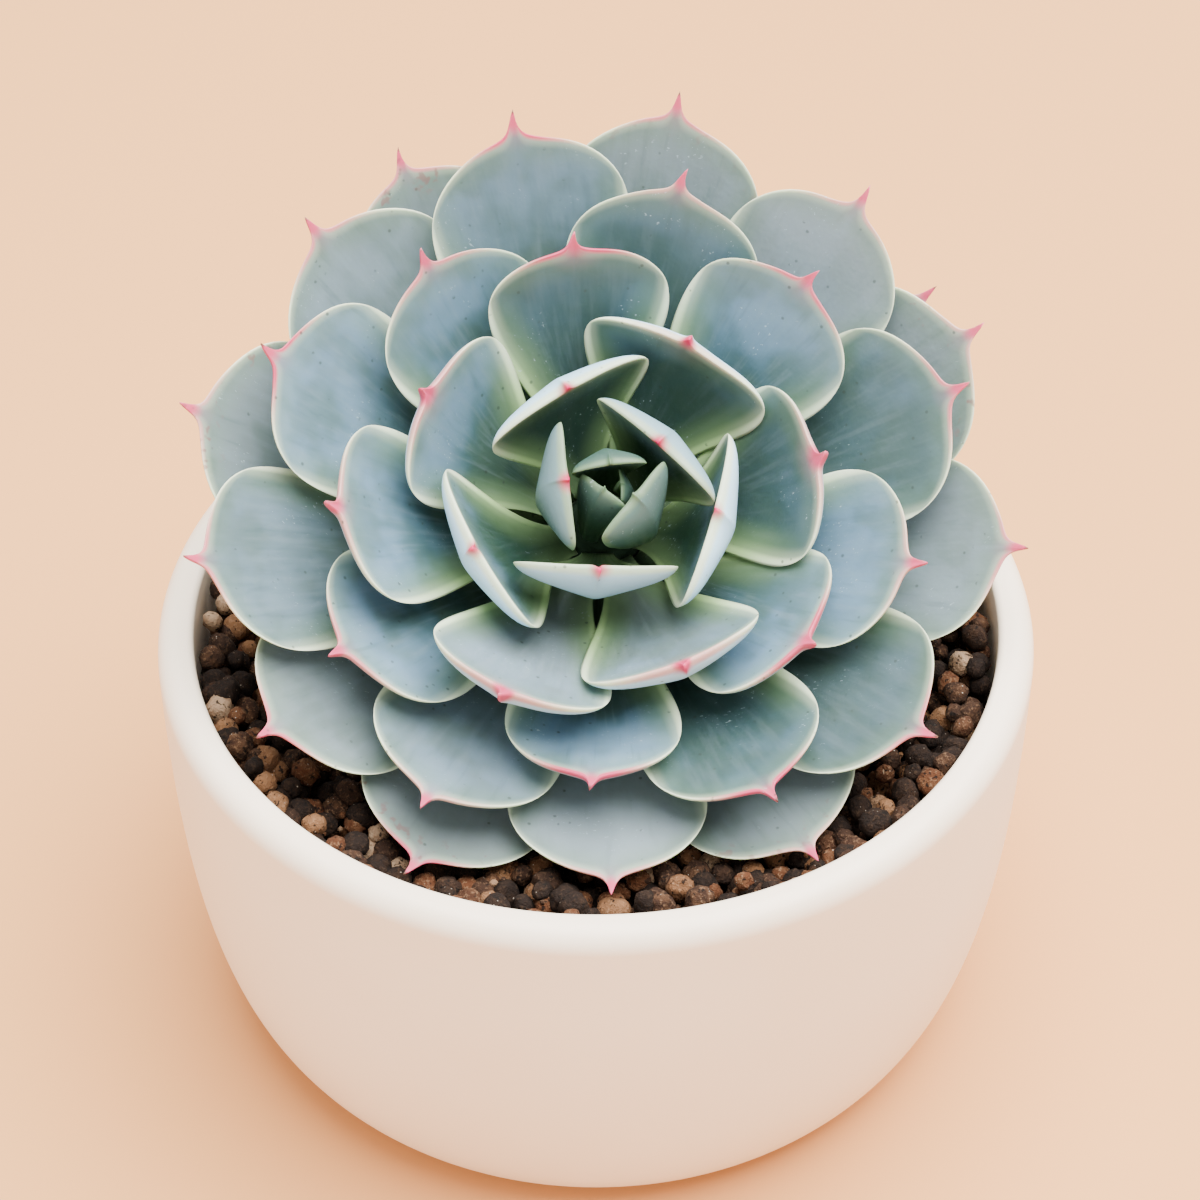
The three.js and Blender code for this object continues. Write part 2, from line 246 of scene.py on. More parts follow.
# Painted shade and painted light, mixed in by each leaf's tone
UPPER_PAINTED_SHADE = (0.026, 0.055, 0.055)
UPPER_PAINTED_LIGHT = (0.200, 0.245, 0.260)
CLOUD_GREEN = (0.070, 0.115, 0.085)
STREAK_PALE = (0.17, 0.24, 0.28)
STREAK_DARK = (0.035, 0.070, 0.070)
BAND_GREEN = (0.098, 0.170, 0.076)
LOWER_BASE = (0.040, 0.100, 0.055)
LOWER_END = (0.46, 0.72, 0.92)
GROWN_LOWER_BASE = (0.040, 0.090, 0.052)
GROWN_LOWER_END = (0.19, 0.29, 0.33)
LOWER_BUD = (0.024, 0.062, 0.034)
MARGIN_BASE = (0.33, 0.50, 0.21)
MARGIN_END = (0.62, 0.72, 0.50)
MARGIN_BUD = (0.08, 0.15, 0.075)
PINK = (0.52, 0.007, 0.090)
PINK_FLUSH = (0.66, 0.30, 0.36)
DRY_BROWN = (0.10, 0.03, 0.02)
SPECK_DARK = (0.03, 0.045, 0.035)
SCUFF_PALE = (0.36, 0.46, 0.50)
BLOTCH_ROSY = (0.18, 0.065, 0.065)

# Colours of the stem, the glaze, the fired clay and the floor
STEM_GREEN = (0.010, 0.032, 0.013)
STEM_SKIN = (0.050, 0.075, 0.032)
STEM_CORK = (0.16, 0.15, 0.075)
GLAZE_WARM = (0.94, 0.80, 0.64)
GLAZE_PALE = (0.96, 0.83, 0.68)
CLAY_BLACK = (0.011, 0.006, 0.004)
CLAY_BROWN = (0.030, 0.014, 0.008)
CLAY_RUST = (0.085, 0.030, 0.012)
CLAY_TAN = (0.19, 0.092, 0.042)
CLAY_BEIGE = (0.36, 0.245, 0.155)
CLAY_PATCH = (0.15, 0.072, 0.034)
CLAY_GRAIN = (0.27, 0.155, 0.085)
# Painted shade in small pits
CLAY_PIT_SHADE = (0.006, 0.004, 0.003)
# Painted glints
CLAY_PAINTED_GLINT = (0.66, 0.58, 0.48)
FLOOR_PEACH = (0.67, 0.32, 0.11)


# Small helpers

def by_age(values, place):
    return float(np.interp(place, AGE_PLACES, values))


def from_rosette(points):
    """Points of the upright rosette, leant and moved to their place over the pot."""
    lean = Euler((LEAN_FORWARD, 0, 0)).to_matrix() @ Euler((0, LEAN_RIGHT, 0)).to_matrix()
    return np.asarray(points) @ np.array(lean).T + np.array(ROSETTE_CENTRE)


def make_object(name, vertices, faces, material, smooth=True, attributes=None):
    """A mesh object from vertices in millimetres, with optional per-vertex numbers."""
    mesh = bpy.data.meshes.new(name)
    mesh.from_pydata([tuple(c * MM for c in v) for v in vertices], [], faces)
    for label, values in (attributes or {}).items():
        layer = mesh.attributes.new(label, "FLOAT", "POINT")
        layer.data.foreach_set("value", np.asarray(values, dtype=np.float32))
    mesh.polygons.foreach_set("use_smooth", [smooth] * len(mesh.polygons))
    mesh.update()
    obj = bpy.data.objects.new(name, mesh)
    bpy.context.collection.objects.link(obj)
    mesh.materials.append(material)
    return obj


class Nodes:
    """A short way to build one material's node tree."""

    def __init__(self, name):
        self.material = bpy.data.materials.new(name)
        self.material.use_nodes = True
        self.tree = self.material.node_tree
        self.shader = self.tree.nodes["Principled BSDF"]

    def new(self, kind, **settings):
        node = self.tree.nodes.new("ShaderNode" + kind)
        for key, value in settings.items():
            setattr(node, key, value)
        return node

    def feed(self, socket, value):
        """Link a socket, or set the number, vector or colour on it."""
        if isinstance(value, bpy.types.NodeSocket):
            self.tree.links.new(value, socket)
        elif isinstance(value, tuple) and len(value) == 3 and socket.type == "RGBA":
            socket.default_value = (*value, 1)
        else:
            socket.default_value = value

    def attribute(self, name):
        node = self.new("Attribute", attribute_type="GEOMETRY", attribute_name=name)
        return node.outputs["Fac"]

    def place(self, scale=(1, 1, 1), shift=None):
        """The object's coordinates, scaled, and shifted by one number on all three axes."""
        node = self.new("Mapping")
        self.feed(node.inputs["Vector"], self.new("TexCoord").outputs["Object"])
        node.inputs["Scale"].default_value = scale
        if shift is not None:
            self.feed(node.inputs["Location"], self.vector(shift, shift, shift))
        return node.outputs["Vector"]

    def vector(self, x, y, z):
        node = self.new("CombineXYZ")
        for axis, value in zip("XYZ", (x, y, z)):
            self.feed(node.inputs[axis], value)
        return node.outputs["Vector"]

    def noise(self, size, detail=2.0, rough=0.5, vector=None):
        """Noise whose features are about size millimetres across."""
        node = self.new("TexNoise")
        self.feed(node.inputs["Vector"], vector or self.place())
        node.inputs["Scale"].default_value = 1 / (size * MM)
        node.inputs["Detail"].default_value = detail
        node.inputs["Roughness"].default_value = rough
        return node.outputs["Fac"]

    def cells(self, size, vector):
        """Distance to the nearest of scattered points that lie about size millimetres apart."""
        node = self.new("TexVoronoi")
        self.feed(node.inputs["Vector"], vector)
        node.inputs["Scale"].default_value = 1 / (size * MM)
        return node.outputs["Distance"]

    def math(self, operation, a, b):
        node = self.new("Math", operation=operation)
        self.feed(node.inputs[0], a)
        self.feed(node.inputs[1], b)
        return node.outputs[0]

    def product(self, first, *others):
        for other in others:
            first = self.math("MULTIPLY", first, other)
        return first

    def span(self, value, low, high, to_low=0.0, to_high=1.0, smooth=True):
        """Value from low to high becomes to_low to to_high, and stays there beyond."""
        node = self.new("MapRange", interpolation_type="SMOOTHSTEP" if smooth else "LINEAR")
        for socket, number in zip(node.inputs[:5], (value, low, high, to_low, to_high)):
            self.feed(socket, number)
        return node.outputs[0]

    def mix(self, share, a, b):
        node = self.new("Mix", data_type="RGBA")
        self.feed(node.inputs[0], share)
        self.feed(node.inputs[6], a)
        self.feed(node.inputs[7], b)
        return node.outputs[2]

    def bump(self, height, distance, strength):
        node = self.new("Bump")
        node.inputs["Strength"].default_value = strength
        node.inputs["Distance"].default_value = distance * MM
        self.feed(node.inputs["Height"], height)
        return node.outputs["Normal"]

    def set(self, **values):
        """Shader inputs by name, with spaces as underscores."""
        for key, value in values.items():
            self.feed(self.shader.inputs[key.replace("_", " ")], value)
        return self.material


# Leaf material: each vertex carries these numbers, of which down and across are in metres

# tone is a leaf's paler or darker colour, partly its own bloom and partly painted light and painted
# shade
LEAF_NUMBERS = ("along", "down", "across", "margin", "point", "under", "old", "luck", "tone")
STREAK_SHRINK = 0.14  # of the leaf's length for its streaks, which draws them out


def leaf_upper_face(n, leaf, cloud, streaks):
    """Deep green at the base, darkened further as painted shade, steel blue, then a pale bloom
    towards the end that is partly a painted sheen.
    """
    reach = n.math("ADD", leaf["along"], n.span(cloud, 0.3, 0.7, -0.10, 0.10))
    reach = n.math("ADD", reach, n.span(leaf["old"], 0.60, 0.90, 0, 0.16))
    # A darker tone moves the dark green of the base outwards, as painted shade
    reach = n.math("ADD", reach, n.span(leaf["tone"], -1.5, 0, -0.20, 0, smooth=False))
    # The darkest greens at the base are partly the leaf's own green and partly painted shade under
    # the overlapping leaves
    body = n.mix(n.span(reach, 0.10, 0.42), UPPER_BASE_AND_SHADE, UPPER_LOW)
    body = n.mix(n.span(reach, 0.40, 0.74), body, UPPER_STEEL)
    body = n.mix(n.span(reach, 0.58, 0.90, 0, 0.9), body, UPPER_BLUE)
    # The frost at the end is partly the leaf's bloom and partly a painted sheen
    body = n.mix(n.span(reach, 0.84, 1.06, 0, 0.7), body, UPPER_FROST_AND_SHEEN)
    body = n.mix(n.span(leaf["old"], 0.52, 0.84, 0, 0.7), body, UPPER_OLD)
    body = n.mix(n.span(cloud, 0.52, 0.36, 0, 0.30), body, CLOUD_GREEN)
    body = n.mix(n.span(streaks, 0.45, 0.75, 0, 0.22), body, STREAK_PALE)
    body = n.mix(n.span(streaks, 0.45, 0.25, 0, 0.25), body, STREAK_DARK)
    # Young leaves near the growing point turn greener, and darker towards the base as painted shade
    # deep in the rosette
    young = n.product(n.span(leaf["old"], 0.34, 0.12), n.span(reach, 1.05, 0.55, 0.30, 0.9))
    body = n.mix(young, body, UPPER_BUD_SHADE)
    # Painted shade on darker leaves and painted light on paler ones, by their tone
    body = n.mix(n.span(leaf["tone"], 0, -1.5, 0, 0.55, smooth=False), body, UPPER_PAINTED_SHADE)
    body = n.mix(n.span(leaf["tone"], 0, 1, 0, 0.5, smooth=False), body, UPPER_PAINTED_LIGHT)
    band = n.product(n.span(leaf["margin"], 4.5, 0.6), n.span(leaf["along"], 1.0, 0.6, 0.30, 0.75))
    return n.mix(band, body, BAND_GREEN)


def leaf_lower_face(n, leaf, bloom):
    """Green at the base and frosted towards the end, greyer on grown leaves."""
    young = n.mix(n.span(leaf["along"], 0.40, 0.95), LOWER_BASE, LOWER_END)
    grown = n.mix(n.span(leaf["along"], 0.25, 0.85), GROWN_LOWER_BASE, GROWN_LOWER_END)
    lower = n.mix(n.span(leaf["old"], 0.24, 0.50), young, grown)
    return n.mix(bloom, LOWER_BUD, lower)


def leaf_margin(n, leaf, body, bloom):
    """A wide faint glow and a narrow pale line along the margin, fading out at the base."""
    pale = n.mix(n.span(leaf["along"], 0.55, 0.95), MARGIN_BASE, MARGIN_END)
    pale = n.mix(bloom, MARGIN_BUD, pale)
    here = n.span(leaf["along"], 0.15, 0.60, 0.15, 1)
    wide = n.product(here, n.span(leaf["under"], 0, 1, 1, 0.4))
    body = n.mix(n.product(n.span(leaf["margin"], 1.6, 0.25, 0, 0.28), wide), body, pale)
    return n.mix(n.product(n.span(leaf["margin"], 0.58, 0.1, 0, 0.88), here), body, pale)


def leaf_pink(n, leaf, body):
    """A pink dot on young leaves, and on older ones a pink spine and a thin front margin."""
    grown = n.span(leaf["old"], 0.19, 0.30)
    dot = n.span(n.math("SUBTRACT", leaf["point"], n.product(grown, 1.7)), 2.2, 0.2)
    dot = n.product(dot, n.span(leaf["old"], 0.07, 0.09))
    front = n.product(n.span(leaf["margin"], 0.70, 0.2), n.span(leaf["point"], 12.0, 3.5), grown)
    front = n.product(front, n.span(leaf["luck"], 0, 1, 0.5, 1))
    body = n.mix(n.math("MAXIMUM", dot, front), body, PINK)
    flush = n.product(n.span(leaf["point"], 6.0, 2.0, 0, 0.2), grown)
    body = n.mix(flush, body, PINK_FLUSH)
    dry_here = n.span(n.product(leaf["luck"], leaf["old"]), 0.3, 0.4)
    return n.mix(n.product(n.span(leaf["point"], 0.9, 0.3), dry_here), body, DRY_BROWN)


def leaf_marks(n, leaf, body, own, cloud, patches):
    """Dark specks, pale scuffs, and rosy brown blotches near the margin of the oldest leaves."""
    specks = n.span(n.cells(2.0, own), 0.15, 0.06)
    body = n.mix(n.product(specks, n.span(patches, 0.44, 0.54, 0, 0.65)), body, SPECK_DARK)
    scuffs = n.span(n.noise(0.7, 2, 0.7, n.place((1, 2.6, 1), leaf["luck"])), 0.65, 0.72)
    body = n.mix(n.product(scuffs, n.span(cloud, 0.52, 0.66, 0, 0.6)), body, SCUFF_PALE)
    blotch_here = n.product(n.span(leaf["margin"], 4.0, 1.0), n.span(leaf["old"], 0.78, 0.88, 0, 0.6))
    return n.mix(n.product(n.span(patches, 0.58, 0.68), blotch_here), body, BLOTCH_ROSY)


def leaf_material():
    """Waxy blue-green leaf with clouds and lengthwise streaks that differ from leaf to leaf."""
    n = Nodes("leaf_wax")
    leaf = {name: n.attribute(name) for name in LEAF_NUMBERS}
    own = n.place(shift=leaf["luck"])
    cloud = n.noise(8, 2, 0.55, own)
    patches = n.noise(1.9, 2, 0.65, own)
    drawn_out = n.vector(leaf["across"], n.product(leaf["down"], STREAK_SHRINK), leaf["luck"])
    streaks = n.noise(1.2, 2, 0.6, drawn_out)
    bloom = n.span(leaf["old"], 0.05, 0.20, 0.05, 1)
    body = leaf_upper_face(n, leaf, cloud, streaks)
    body = n.mix(leaf["under"], body, leaf_lower_face(n, leaf, bloom))
    body = leaf_margin(n, leaf, body, bloom)
    body = leaf_pink(n, leaf, body)
    body = leaf_marks(n, leaf, body, own, cloud, patches)
    relief = n.bump(patches, 0.12, 0.55)
    roughness = n.span(streaks, 0.3, 0.8, 0.40, 0.58)
    return n.set(
        Base_Color=body, Roughness=roughness, Normal=relief, Subsurface_Weight=0.25,
        Subsurface_Radius=(1.0, 1.3, 0.7), Subsurface_Scale=1.2 * MM, Specular_IOR_Level=0.4,
    )


# Other materials

def stem_material():
    """Green at the growing point, and corky between old leaf scars lower down."""
    n = Nodes("stem_skin")
    bands = n.noise(3, 4, 0.6)
    colour = n.mix(n.span(bands, 0.3, 0.7), STEM_SKIN, STEM_CORK)
    colour = n.mix(n.span(n.attribute("old"), 0.75, 0.35), colour, STEM_GREEN)
    relief = n.bump(n.noise(1.2, 4, 0.65), 0.25, 0.8)
    return n.set(Base_Color=colour, Roughness=0.75, Normal=relief)


def pot_material():
    """Satin cream glaze with a faint unevenness of tone and surface."""
    n = Nodes("pot_glaze")
    tone = n.noise(30)
    colour = n.mix(n.span(tone, 0.3, 0.7), GLAZE_WARM, GLAZE_PALE)
    relief = n.bump(n.noise(12), 0.12, 0.4)
    roughness = n.span(tone, 0.3, 0.7, 0.36, 0.46)
    return n.set(
        Base_Color=colour, Roughness=roughness, Normal=relief, Specular_IOR_Level=0.5,
        Subsurface_Weight=0.05, Subsurface_Radius=(1.0, 0.7, 0.5), Subsurface_Scale=1.5 * MM,
    )


def granule_material():
    """Fired clay: each granule has its own tone between near black, rust and beige."""
    n = Nodes("clay_granules")
    tone = n.attribute("tone")
    own = n.place(shift=tone)
    grain = n.noise(0.5, 3, 0.7, own)
    patch = n.noise(1.8, 2, 0.5, own)
    colour = n.mix(n.span(tone, 0.30, 0.46), CLAY_BLACK, CLAY_BROWN)
    colour = n.mix(n.span(tone, 0.58, 0.66), colour, CLAY_RUST)
    colour = n.mix(n.span(tone, 0.78, 0.84), colour, CLAY_TAN)
    colour = n.mix(n.span(tone, 0.91, 0.95), colour, CLAY_BEIGE)

    # Dust in patches and grains on all but the darkest granules, then painted shade in pits and
    # painted glints
    dusty = n.span(tone, 0.25, 0.75, 0.12, 1)
    colour = n.mix(n.product(n.span(patch, 0.45, 0.65, 0, 0.45), dusty), colour, CLAY_PATCH)
    colour = n.mix(n.product(n.span(grain, 0.52, 0.66, 0, 0.6), dusty), colour, CLAY_GRAIN)
    # Near-black spots are painted shade in small pits
    colour = n.mix(n.span(n.noise(0.8, 2, 0.7, own), 0.42, 0.34, 0, 0.9), colour, CLAY_PIT_SHADE)
    # Pale dots are painted glints on the lighter patches
    glints = n.span(n.cells(0.6, own), 0.17, 0.09, 0, 0.6)
    colour = n.mix(n.product(glints, n.span(patch, 0.56, 0.64)), colour, CLAY_PAINTED_GLINT)
    relief = n.bump(grain, 0.5, 1.0)
    return n.set(Base_Color=colour, Roughness=0.85, Normal=relief, Specular_IOR_Level=0.2)


def floor_material():
    n = Nodes("studio_floor")
    return n.set(Base_Color=FLOOR_PEACH, Roughness=0.7)


# Leaves

def stem_radius_at(place):
    share = min(1, (place / STEM_FULL_PLACE) ** STEM_GROWTH)
    return STEM_TOP_RADIUS + (STEM_RADIUS - STEM_TOP_RADIUS) * share


def leaf_arc(place):
    """Root radius, depth, length, curl and start angle of the leaf's midrib."""
    root = stem_radius_at(place) + FIT_GAP
    depth = APEX_DEPTH + LEAF_SPACING * place
    reach = by_age(TIP_RADIUS, place) + STRAY_RADIUS.get(place, 0) - root
    climb = by_age(TIP_HEIGHT, place) + STRAY_HEIGHT.get(place, 0) + depth
    curl = math.radians(by_age(LEAF_CURL, place) + STRAY_CURL.get(place, 0))
    chord = math.hypot(reach, climb)
    length = (chord * curl / 2) / math.sin(curl / 2)
    return root, depth, length, curl, math.atan2(climb, reach) - curl / 2


def leaf_character(place):
    """Seeded ways in which one leaf differs from the smooth form."""
    draw = random.Random(CHARACTER_SEED + place)
    droop = 0.7 * min(1, place / 10) * max(0, 1 - place / 30)
    return {
        "luck": draw.random(),
        "spine_side": draw.uniform(-0.7, 0.7),
        "spine_lift": draw.uniform(-0.4, 0.3) - droop,
        "dents": [(draw.uniform(1, 7), draw.uniform(-4, 4), draw.uniform(0, ANY_TURN))
                  for _ in range(DENT_WAVES)],
        "edges": [(draw.uniform(4, 11), draw.uniform(0, ANY_TURN)) for _ in range(EDGE_WAVES)],
    }


def dented(s, u, dents):
    """A smooth undulation between 0 and 1."""
    total = sum(np.sin(ks * s + ku * u + start) for ks, ku, start in dents)
    return 0.5 + 0.5 * total / len(dents)


def wavy(s, u, edges):
    """A smooth unevenness of the outline, about -1 to 1."""
    waves = [np.sin(k * s + 2.2 * u * (n + 1) + start) for n, (k, start) in enumerate(edges)]
    return sum(waves) / len(edges)


def leaf_point(s, edge):
    """How far the slim spine and the broader flare draw out each point, from 0 to 1."""
    near_end = np.clip((s - POINT_START) / (1 - POINT_START), 0, 1) ** 2
    beside = np.sqrt(edge ** 2 + SPINE_BLUNT ** 2) - SPINE_BLUNT
    return np.exp(-beside / SPINE_SPREAD) * near_end, np.exp(-beside / FLARE_SPREAD) * near_end


def leaf_height(place, s, u, side, size, dents):
    """Height of one face over the midrib: a dented spoon above, or a keel rounded off at the end."""
    edge = np.abs(u)
    spoon = by_age(LEAF_CUP, place) * edge ** 2
    spoon = spoon * (CUP_START + (1 - CUP_START) * np.clip(s / CUP_FULL_AT, 0, 1))
    dent = DENT_DEPTH * size * dented(s, u, dents) * (1 - edge ** 4) * np.sin(np.pi * s)
    top = spoon - np.minimum(dent, DENT_LIMIT)
    if side > 0:
        return top
    rim = np.sqrt(1 - edge ** 8)
    keel = 1 - (np.sqrt(u * u + KEEL_BLUNT) - math.sqrt(KEEL_BLUNT)) / KEEL_REACH
    taper_start = TAPER_START + TAPER_DELAY * edge ** 1.5
    taper = np.clip((s - taper_start) / (1 - taper_start), 0, 1)
    section = rim * (RIM_SHARE + (1 - RIM_SHARE) * np.clip(keel, 0, 1))
    section = section * (BASE_SHARE + (1 - BASE_SHARE) * np.clip(s / THICK_FULL_AT, 0, 1))
    section = section * (1 - taper ** 2.2) ** 0.55
    return top + dent - by_age(LEAF_THICKNESS, place) * section


def bent_leaf(place, along, sideways, height):
    """Points of a flat leaf, rolled about its midrib, curled along its arc and turned outwards."""
    root, depth, length, curl, start = leaf_arc(place)
    roll = math.radians(LEAF_ROLL.get(place, COMMON_ROLL))
    across = sideways * math.cos(roll) - height * math.sin(roll)
    lift = sideways * math.sin(roll) + height * math.cos(roll)
    angle = start + curl * along / length
    bend = length / curl
    out = root + bend * (np.sin(angle) - math.sin(start)) - lift * np.sin(angle)
    up = bend * (math.cos(start) - np.cos(angle)) + lift * np.cos(angle) - depth
    turn = math.radians(SPIRAL_START - SPIRAL_STEP * place + STRAY_TURN.get(place, 0))
    x = out * math.cos(turn) - across * math.sin(turn)
    y = out * math.sin(turn) + across * math.cos(turn)
    return np.stack([x, y, up], axis=-1)


def leaf_surface(place, s, u, side, own):
    """Points of one face and their distance from the margin; s runs along and u across."""
    length = leaf_arc(place)[2]
    edge = np.abs(u)
    width = by_age(LEAF_WIDTH, place) + STRAY_WIDTH.get(place, 0)
    size = width / COMMON_WIDTH
    waist = by_age(BASE_WIDTH, place) / width
    half_width = width / 2 * (waist + (1 - waist) * np.sin(np.pi / 2 * s ** NARROWING))
    ripple = wavy(s, u, own["edges"]) * np.clip((s - RIPPLE_START) / RIPPLE_FADE, 0, 1)
    curve = by_age(SHOULDER_CURVE, place)
    drop = by_age(SHOULDER_DROP, place) * (1 - (1 - edge ** curve) ** (1 / curve))
    drop = drop + RIPPLE_LENGTH * size * ripple * np.clip(edge / RIPPLE_FADE, 0, 1)
    spine, flare = leaf_point(s, edge)
    point = by_age(POINT_LENGTH, place)
    along = s * (length - point - drop) + point * (SPINE_SHARE * spine + (1 - SPINE_SHARE) * flare)
    sideways = half_width * u * (1 + RIPPLE_WIDTH * ripple) + own["spine_side"] * size * spine ** 2
    height = leaf_height(place, s, u, side, size, own["dents"])
    height = height + own["spine_lift"] * size * (0.6 * spine + 0.4 * flare) * spine
    margin = np.minimum(half_width * (1 - edge), (1 - s) * length * END_MARGIN)
    return bent_leaf(place, along, sideways, height), margin


def squares(index):
    """The four corners of each square of a grid of vertices, going round."""
    return index[:-1, :-1], index[1:, :-1], index[1:, 1:], index[:-1, 1:]


def leaf_faces(rows, columns):
    """Faces of the upper face, the lower face and the root, which share the outline's vertices."""
    top = np.arange(rows * columns).reshape(rows, columns)
    outline = np.zeros((rows, columns), bool)
    outline[-1, :] = True
    outline[:, 0] = True
    outline[:, -1] = True
    under = np.where(outline, top, top + rows * columns)
    corner, above, across, right = squares(under)
    return np.concatenate([
        np.stack(squares(top), -1).reshape(-1, 4),
        np.stack([corner, right, across, above], -1).reshape(-1, 4),
        np.stack([top[0, :-1], top[0, 1:], under[0, 1:], under[0, :-1]], -1),
    ])


def make_leaf(place, number, material):
    own = leaf_character(place)
    lines = [-u for u in reversed(HALF_LINES[1:])] + list(HALF_LINES)
    s, u = np.meshgrid(np.array(LEAF_ROWS, float), np.array(lines), indexing="ij")
    rows, columns = s.shape
    top, margin = leaf_surface(place, s, u, 1, own)
    under, _ = leaf_surface(place, s, u, -1, own)
    points = np.concatenate([top.reshape(-1, 3), under.reshape(-1, 3)])
    tip = top[-1, columns // 2]
    along = np.tile(s.ravel(), 2)
    values = {
        "along": along,
        "down": along * leaf_arc(place)[2] * MM,
        "across": np.tile(u.ravel(), 2) * by_age(LEAF_WIDTH, place) / 2 * MM,
        "margin": np.tile(margin.ravel(), 2),
        "point": np.linalg.norm(points - tip, axis=1),
        "under": np.repeat([0.0, 1.0], rows * columns),
        "old": np.full(len(points), place / LAST_PLACE),
        "luck": np.full(len(points), own["luck"]),
        "tone": np.full(len(points), STRAY_LIGHT_AND_SHADE.get(place, 0.0)),
    }

    # Only the vertices that a face uses are kept, and a square with a shared corner is a triangle
    used, faces = np.unique(leaf_faces(rows, columns), return_inverse=True)
    values = {label: numbers[used] for label, numbers in values.items()}
    face_list = [tuple(dict.fromkeys(int(k) for k in face)) for face in faces.reshape(-1, 4)]
    face_list = [face for face in face_list if len(face) > 2]
    name = f"leaf_{number:02d}"
    world = from_rosette(points[used])
    obj = make_object(f"{name}_fine", world, face_list, material, attributes=values)
    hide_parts(name)
    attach(obj, "root")
    return obj


# Turned shapes

def turned(profile, sides):
    """Vertices and faces of a closed turned solid; the profile runs from axis to axis."""
    vertices = [(0, 0, profile[0][1])]
    rings = profile[1:-1]
    for r, z in rings:
        for k in range(sides):
            angle = 2 * math.pi * k / sides
            vertices.append((r * math.cos(angle), r * math.sin(angle), z))
    vertices.append((0, 0, profile[-1][1]))
    last = len(vertices) - 1
    last_ring = 1 + (len(rings) - 1) * sides
    faces = []
    for k in range(sides):
        after = (k + 1) % sides
        faces.append((0, 1 + after, 1 + k))
        for a in range(1, last_ring, sides):
            b = a + sides
            faces.append((a + k, a + after, b + after, b + k))
        faces.append((last_ring + k, last_ring + after, last))
    return vertices, faces


def pot_radius_at(z):
    share = min(1, max(0, 1 - z / POT_HEIGHT))
    bulge = (1 - share ** POT_CURVE) ** (1 / POT_CURVE)
    return POT_BASE_RADIUS + (POT_RIM_RADIUS - POT_BASE_RADIUS) * bulge


def pot_profile():
    """From the middle of the base up the outside, over the lip and down to the inner floor."""
    shoulder = POT_HEIGHT - LIP_OUTER_ROUND
    inside_top = POT_HEIGHT - LIP_INNER_ROUND
    profile = [(0, 0.0), (POT_BASE_RING, 0.0), (POT_BASE_RADIUS - POT_FOOT_EDGE, 0.0)]
    for k in range(1, POT_RINGS + 1):
        z = shoulder * (k / POT_RINGS) ** POT_RING_CROWDING
        profile.append((pot_radius_at(z), z))
    for k in range(1, LIP_OUTER_STEPS + 1):
        turn = math.pi / 2 * k / LIP_OUTER_STEPS
        r = POT_RIM_RADIUS - LIP_OUTER_ROUND * (1 - math.cos(turn))
        profile.append((r, shoulder + LIP_OUTER_ROUND * math.sin(turn)))
    for k in range(LIP_INNER_STEPS + 1):
        turn = math.pi / 2 * k / LIP_INNER_STEPS
        r = POT_RIM_RADIUS - POT_WALL + LIP_INNER_ROUND * (1 - math.sin(turn))
        profile.append((r, POT_HEIGHT - LIP_INNER_ROUND * (1 - math.cos(turn))))
    for k in range(1, INSIDE_RINGS + 1):
        z = inside_top - k * INSIDE_RING_STEP
        profile.append((pot_radius_at(z) - POT_WALL, z))
    return profile + [(0, inside_top - INSIDE_RINGS * INSIDE_RING_STEP)]


def make_pot():
    vertices, faces = turned(pot_profile(), POT_SIDES)
    pot = make_object("pot_fine", vertices, faces, pot_material())
    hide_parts("pot")
    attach(pot, "root")


def stem_profile():
    """From the growing point down past the leaf scars to the stem's end in the soil."""
    top = DOME_RISE - APEX_DEPTH
    profile = [(0, top)]
    for k in range(1, DOME_RINGS + 1):
        share = k / DOME_RINGS
        profile.append((STEM_TOP_RADIUS * DOME_WIDTH * share, top - DOME_DROP * share ** 2))
    for k in range(1, SCAR_RINGS + 1):
        place = 1 + k * (LAST_PLACE - 1) / SCAR_RINGS
        scar = SCAR_DEPTH * (math.sin(k * SCAR_STEP) - 1)
        profile.append((stem_radius_at(place) + scar, -APEX_DEPTH - LEAF_SPACING * place))
    bare_length = STEM_END - ROOT_TAPER - BARE_STEM_TOP
    for k in range(1, BARE_STEM_RINGS + 1):
        z = -BARE_STEM_TOP - bare_length * k / BARE_STEM_RINGS
        profile.append((STEM_RADIUS - BARE_STEM_RIPPLE * (k % 2), z))
    return profile + [(STEM_RADIUS / 2, -STEM_END), (0, -STEM_END)]


def make_stem():
    vertices, faces = turned(stem_profile()[::-1], STEM_SIDES)
    old = [min(1, -z / STEM_END) for _, _, z in vertices]
    world = from_rosette(vertices)
    stem = make_object("stem_fine", world, faces, stem_material(), attributes={"old": old})
    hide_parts("stem")
    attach(stem, "root")


# Soil: loose granules of true size, packed by a seeded draw

def unit_sphere(level):
    """Unit sphere of triangles as arrays of vertices and faces."""
    shape = bmesh.new()
    bmesh.ops.create_icosphere(shape, subdivisions=level, radius=1)
    vertices = np.array([v.co[:] for v in shape.verts])
    faces = np.array([[v.index for v in face.verts] for face in shape.faces])
    shape.free()
    return vertices, faces


def square_of(x, y):
    return round(x / CEILING_SQUARE), round(y / CEILING_SQUARE)


def leaf_ceiling(leaves):
    """Lowest leaf height over each square of the soil."""
    lowest = {}
    for leaf in leaves:
        points = np.array([v.co[:] for v in leaf.data.vertices]) / MM
        for x, y, z in points[points[:, 2] < CEILING_TOP]:
            key = square_of(x, y)
            lowest[key] = min(z, lowest.get(key, OPEN_SKY))
    return lowest


def headroom(ceiling, x, y, z, radius):
    """The height z, lowered where a leaf hangs over the spot."""
    column, row = square_of(x, y)
    near = [ceiling.get((column + i, row + j), OPEN_SKY) for i in (-1, 0, 1) for j in (-1, 0, 1)]
    return min(z, min(near) - CEILING_GAP - radius)


